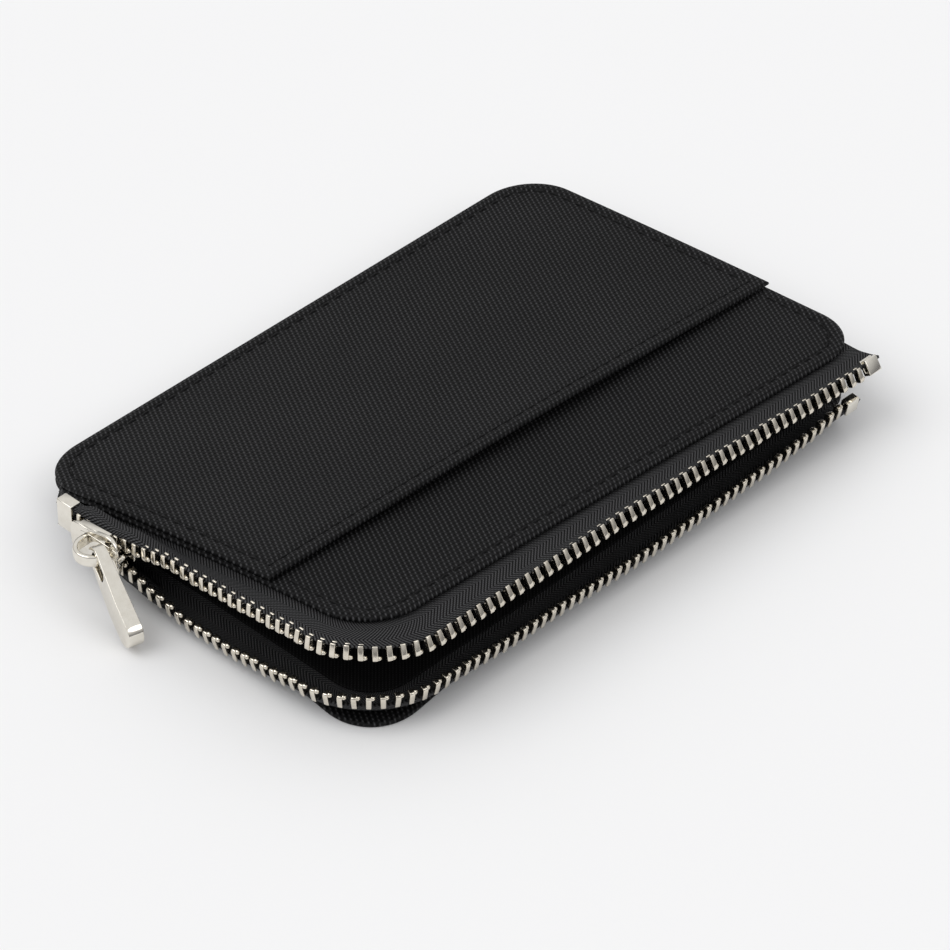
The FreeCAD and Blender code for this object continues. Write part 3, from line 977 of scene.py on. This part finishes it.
def board_material():
    """Dark pressed board with a fine speckle."""
    g = Graph("stiffener_board")
    speckle = g.noise(1400.0, 4.0)
    colour = g.colours(speckle, (0.02, 0.02, 0.02), (0.06, 0.06, 0.058))
    return g.finish(colour, 0.8, g.bump(speckle, 0.3, 0.05 * MM))


# each cloth's light colour is the painted highlight on its thread tops, and its dark colour the painted
# shade in its hollows
outer_cloth = woven("outer_weave", 0.45, 0.77, (0.0005, 0.0005, 0.0006), (0.072, 0.072, 0.075),
                    0.30, 0.50)
lining_cloth = woven("lining_weave", 0.36, 0.36, (0.001, 0.001, 0.0011), (0.022, 0.022, 0.023),
                     0.08, 0.6)
tape_cloth = herringbone("tape_herringbone", (0.0006, 0.0006, 0.0007), (0.085, 0.085, 0.088))
thread = thread_material()
board = board_material()
teeth_metal = nickel("nickel_teeth", (0.80, 0.75, 0.66), (0.62, 0.57, 0.48), 0.13, 2600.0)
slider_metal = nickel("nickel_slider", (0.84, 0.81, 0.74), (0.74, 0.70, 0.62), 0.07, 2200.0)

# ---- upper side
FINE = (150, 60, 12)
EDGE = (3.3, 2.95, 2.7, 2.5, 2.3, 2.05, 1.8, 1.5, 1.2, 0.9)

upper_panel = layer_mesh("upper_panel", rounded_ring, FINE, upper_panel_height, FABRIC, EDGE)
dress(upper_panel, "upper_shell", "outer_fabric", outer_cloth, "top_panel")

slip_pocket = layer_mesh("slip_pocket", pocket_ring, FINE, slip_pocket_height, 0.85, EDGE)
dress(slip_pocket, "upper_shell", "outer_fabric", outer_cloth, "slip_pocket_panel")

slip_lining = layer_mesh(
    "slip_lining", lambda i, *c: pocket_ring(i + 0.4, *c, front=-14.0), (60, 24, 6),
    lambda x, y, i: panel_top(x, y) + 0.3, 0.25, (1.5,))
dress(slip_lining, "upper_shell", "lining_fabric", lining_cloth, "slip_pocket_lining")

upper_lining = layer_mesh(
    "upper_lining", lambda i, *c: rounded_ring(i + 1.6, *c), (70, 40, 8),
    lambda x, y, i: panel_top(x, y) - FABRIC - 0.65 + unevenness(x, y) * 0.4, 0.4, (1.5,))
dress(upper_lining, "upper_shell", "lining_fabric", lining_cloth, "top_lining")

upper_tape = tape_mesh("upper_tape", upper_section, CHAIN_END)
dress(upper_tape, None, "tape_fabric", tape_cloth, "zip_tape_upper")
TAPE_BLEND_FROM = np.array([-61.3, 9.0, 9.0])
TAPE_BLEND_STEP = np.array([3.66, -0.27, 0.0])
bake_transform(upper_tape)


def tape_share(point):
    """How far the tape's blend is along at a point, 0 to 1."""
    reach = (point - TAPE_BLEND_FROM) @ TAPE_BLEND_STEP
    return float(np.clip(reach / (TAPE_BLEND_STEP @ TAPE_BLEND_STEP), 0, 1))


upper_spots = teeth_positions(FIRST_TOOTH + TOOTH_PITCH / 2, LAST_UPPER_TOOTH, upper_tilt)
held_spots = []
bending_spots = []
free_spots = []
for spot in upper_spots:
    share = tape_share(chain_axes(upper_section, *spot)[0])
    if share <= 0.0:
        held_spots.append(spot)
    elif share >= 1.0:
        free_spots.append(spot)
    else:
        bending_spots.append((share, spot))

upper_teeth_free = teeth_mesh("upper_teeth", upper_section, free_spots)
dress(upper_teeth_free, "upper_shell", "teeth_metal", teeth_metal, "zip_teeth_upper")
upper_teeth_held = teeth_mesh("upper_teeth_held", upper_section, held_spots)
dress(upper_teeth_held, "lower_shell", "teeth_metal", teeth_metal, "zip_teeth_upper")
# A tooth stays rigid: each one where the tape blends is made as an object of its own, on no body.
for k, (share, spot) in enumerate(bending_spots):
    tooth = teeth_mesh(f"upper_tooth_{k:02d}", upper_section, [spot])
    dress(tooth, None, "teeth_metal", teeth_metal, "zip_teeth_upper")
    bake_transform(tooth)

upper_stop = top_stop_piece("upper_top_stop", LAST_UPPER_TOOTH + 2.2, upper_section, -55.0)
dress(upper_stop, "upper_shell", "stop_metal", slider_metal, "top_stop_upper")


def pocket_face(x, y):
    return slip_pocket_height(x, y, STITCH_INSET)


def band_face(x, y):
    return upper_panel_height(x, y, STITCH_INSET)


ring = rounded_ring(STITCH_INSET, *FINE)
back_line = ring[ring[:, 1] > SLIP_MOUTH_Y + 3.5]
order = np.argsort(-np.unwrap(np.arctan2(back_line[:, 1] + 8, back_line[:, 0])))
sew("spine_stitches", back_line[order], pocket_face, "upper_shell", "stitches_spine")

hem_y = SLIP_MOUTH_Y + STITCH_INSET
hem_line = [(-HALF_LENGTH + 1.2, hem_y), (HALF_LENGTH - 1.2, hem_y)]
sew("hem_stitches", hem_line, pocket_face, "upper_shell", "stitches_hem")

front_line = ring[ring[:, 1] < SLIP_MOUTH_Y - 1.0]
order = np.argsort(np.unwrap(np.arctan2(front_line[:, 1] + 10, front_line[:, 0])))
sew("zip_stitches", front_line[order], band_face, "upper_shell", "stitches_zip")


# ---- lower side
def bottom_ring(inset, *counts):
    """The bottom panel's outline, swollen outwards at the gaping front left corner."""
    plan = rounded_ring(inset, *counts)
    tip = np.array([-HALF_LENGTH + 3.0, -HALF_WIDTH + 3.0])
    spread = 13.0
    share = np.exp(-np.sum((plan - tip) ** 2, axis=1) / (2 * spread ** 2))
    return plan - share[:, None] * CORNER_SWELL * math.sqrt(0.5)


lower_panel = layer_mesh("lower_panel", bottom_ring, FINE, lambda x, y, i: FABRIC + 0 * x,
                         FABRIC, EDGE)
dress(lower_panel, "lower_shell", "outer_fabric", outer_cloth, "bottom_panel")

lower_lining = layer_mesh(
    "lower_lining", lambda i, *c: rounded_ring(i + 1.6, *c), (70, 40, 8),
    lambda x, y, i: 1.85 + 0.05 * np.sin(x / 6.0) * np.sin(y / 5.0), 0.4, (1.5,))
dress(lower_lining, "lower_shell", "lining_fabric", lining_cloth, "bottom_lining")


def rectangle_ring(inset, along, across, turn, x0, x1, y0, y1):
    """Outline of a straight rectangle, moved in by inset."""
    corners = [(x0 + inset, y0 + inset), (x1 - inset, y0 + inset),
               (x1 - inset, y1 - inset), (x0 + inset, y1 - inset)]
    return np.vstack([run(corners[k], corners[(k + 1) % 4], (along, across)[k % 2] + 2 * turn)
                      for k in range(4)])


for name, node, slot, cloth, border in (
        ("card_pocket_sheet", "card_pocket", "lining_fabric", lining_cloth, 2.0),
        ("card_pocket_trim", "card_pocket_binding", "tape_fabric", tape_cloth, 1.0)):
    low, high = box_mm(node)
    piece = layer_mesh(
        name, lambda i, *c: rectangle_ring(i, *c, low[0], high[0], low[1], high[1]), (50, 10, 3),
        lambda x, y, i: high[2] + 0 * x, high[2] - low[2], (0.7,), border)
    dress(piece, "lower_shell", slot, cloth, node)

lower_tape = tape_mesh("lower_tape", lower_section, LAST_LOWER_TOOTH + 5.0)
dress(lower_tape, "lower_shell", "tape_fabric", tape_cloth, "zip_tape_lower")
lower_teeth = teeth_mesh("lower_teeth", lower_section,
                         teeth_positions(FIRST_TOOTH, LAST_LOWER_TOOTH, lower_tilt))
dress(lower_teeth, "lower_shell", "teeth_metal", teeth_metal, "zip_teeth_lower")
lower_stop = top_stop_piece("lower_top_stop", LAST_LOWER_TOOTH + 2.4, lower_section, 80.0)
dress(lower_stop, "lower_shell", "stop_metal", slider_metal, "top_stop_lower")
end_stop = bottom_stop_piece()
dress(end_stop, "lower_shell", "stop_metal", slider_metal, "bottom_stop")


def wall_mesh(name, inset, thickness, low, high):
    """Upright band round the back, from one side to the other, its edges pulled in a little."""
    x = HALF_LENGTH - CORNER_RADIUS
    y = HALF_WIDTH - CORNER_RADIUS
    r = CORNER_RADIUS - inset
    plan = np.vstack([arc(x, y, r, 0, 90, 13), run((x, y + r), (-x, y + r), 89),
                      arc(-x, y, r, 90, 180, 13), [(-x - r, y)]])
    way = unit(np.gradient(plan, axis=0))
    out = np.column_stack([way[:, 1], -way[:, 0]])
    rows = np.linspace(0, 1, 9)
    rings = []
    uvs = []
    for point, normal, reach in zip(plan, out, lengths_along(plan)):
        ring = []
        for depth, order in ((0.0, rows), (thickness, rows[::-1])):
            for t in order:
                pulled_in = 0.35 * (2 * t - 1) ** 2
                ring.append((*(point - normal * (pulled_in + depth)), low + (high - low) * t))
                uvs.append((reach, (high - low) * t))
        rings.append(ring)
    return swept(name, rings, uvs, flat_caps)


spine_wall = wall_mesh("spine_wall", 0.45, 0.6, 0.75, 5.6)
dress(spine_wall, None, "outer_fabric", outer_cloth, "spine_strip")
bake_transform(spine_wall)
spine_wall_lining = wall_mesh("spine_wall_lining", 1.3, 0.35, 0.95, 4.15)
dress(spine_wall_lining, "lower_shell", "lining_fabric", lining_cloth, "spine_lining")


def gusset_mesh():
    """Folded strip that closes the right side, its fold pointing inwards."""
    depth = 11.0
    outer_x = HALF_LENGTH - 0.7
    low = 1.75
    rings = []
    uvs = []
    for y in np.linspace(29.5, -29.0, 60):
        high = panel_top(outer_x, y) - FABRIC - 0.1
        middle = (low + high) / 2 + 0.1 * math.sin(y / 5.0)
        reach = depth + 0.25 * math.sin(y / 7.0 + 1.0)
        profile = [(0.0, low), (1.2, low + 0.1), (reach * 0.5, (low * 1.2 + middle) / 2.2),
                   (reach, middle - 0.35), (reach + 0.25, middle), (reach, middle + 0.35),
                   (reach * 0.5, (high * 1.2 + middle) / 2.2), (1.2, high - 0.1), (0.0, high)]
        line = rounded_section([(outer_x - inward, z) for inward, z in profile], 3)
        ring, across = sheet_ring(line, 0.4)
        rings.append([(x, y, z) for x, z in ring])
        uvs += [(y, t) for t in across]
    return swept("gusset_fold", rings, uvs, strip_caps)


gusset = gusset_mesh()
dress(gusset, None, "lining_fabric", lining_cloth, "side_gusset")
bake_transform(gusset)

under_line = bottom_ring(STITCH_INSET, *FINE)
sew("under_stitches", np.vstack([under_line, under_line[:1]]), lambda x, y: 0.30, "lower_shell",
    facing=-1.0)

# ---- slider and pull
slider = slider_piece()
dress(slider, "slider", "slider_metal", slider_metal, "slider_body")
crown = crown_piece()
dress(crown, "slider", "slider_metal", slider_metal, "slider_crown")
pull = pull_piece()
dress(pull, "pull", "slider_metal", slider_metal, "pull_tab")

for node in ("bottom_stiffener", "top_stiffener"):
    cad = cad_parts[node]
    cad.data.materials.clear()
    cad.data.materials.append(board)


# ---- floor, light and camera
def towards(azimuth, elevation):
    """Direction at an azimuth from the front, anticlockwise seen from above, and an elevation."""
    a = math.radians(azimuth)
    e = math.radians(elevation)
    return Vector((math.sin(a) * math.cos(e), -math.cos(a) * math.cos(e), math.sin(e)))


def wide_light(name, azimuth, elevation, spread, power):
    """Large soft light, far away."""
    data = bpy.data.lights.new(name, "SUN")
    data.angle = math.radians(spread)
    data.energy = power
    lamp = add_object(name, data)
    lamp.location = towards(azimuth, elevation)
    lamp.rotation_euler = lamp.location.to_track_quat("Z", "Y").to_euler()


def make_floor():
    """Plain pale floor, far wider than the picture."""
    size = 3.0
    mesh = bpy.data.meshes.new("floor")
    corners = [(-size, -size, 0), (size, -size, 0), (size, size, 0), (-size, size, 0)]
    mesh.from_pydata(corners, [], [(0, 1, 2, 3)])
    floor = add_object("floor", mesh)
    g = Graph("pale_floor")
    g.finish((0.88, 0.88, 0.885, 1), 0.75, g.bump(g.noise(40.0), 0.02, 0.0001), Specular_IOR_Level=0.2)
    mesh.materials.append(g.material)


def make_camera():
    """Camera from over the gaping front left corner, about 700 mm away with a long lens."""
    back = towards(-45.6, 37.6)
    distance = 0.70
    target = Vector((0, 0, 0.008))
    right = (-back).cross(Vector((0, 0, 1))).normalized()
    up = right.cross(-back)
    data = bpy.data.cameras.new("camera")
    data.sensor_width = 36.0
    data.lens = 168.7
    data.clip_start = 0.01
    data.clip_end = 20.0
    camera = add_object("camera", data)
    camera.location = target + back * distance
    aim = target + right * 0.0031 - up * 0.0108
    way = aim - camera.location
    camera.rotation_euler = way.to_track_quat("-Z", "Y").to_euler()
    bpy.context.scene.camera = camera


def make_world():
    """Even studio light that is dimmer from below."""
    world = bpy.data.worlds.new("studio")
    world.use_nodes = True
    tree = world.node_tree
    where = tree.nodes.new("ShaderNodeTexCoord")
    split = tree.nodes.new("ShaderNodeSeparateXYZ")
    ramp = tree.nodes.new("ShaderNodeValToRGB")
    below, above = ramp.color_ramp.elements
    below.position = 0.05
    below.color = (0.22, 0.22, 0.23, 1)
    above.position = 0.55
    above.color = (1, 1, 1, 1)
    tree.links.new(where.outputs["Generated"], split.inputs[0])
    tree.links.new(split.outputs[2], ramp.inputs[0])
    tree.links.new(ramp.outputs[0], tree.nodes["Background"].inputs[0])
    tree.nodes["Background"].inputs[1].default_value = 0.82
    bpy.context.scene.world = world


make_floor()
make_camera()
make_world()
wide_light("key", -120, 52, 50, 0.95)
wide_light("fill", 10, 40, 30, 0.3)
bpy.context.scene.view_settings.view_transform = "Standard"
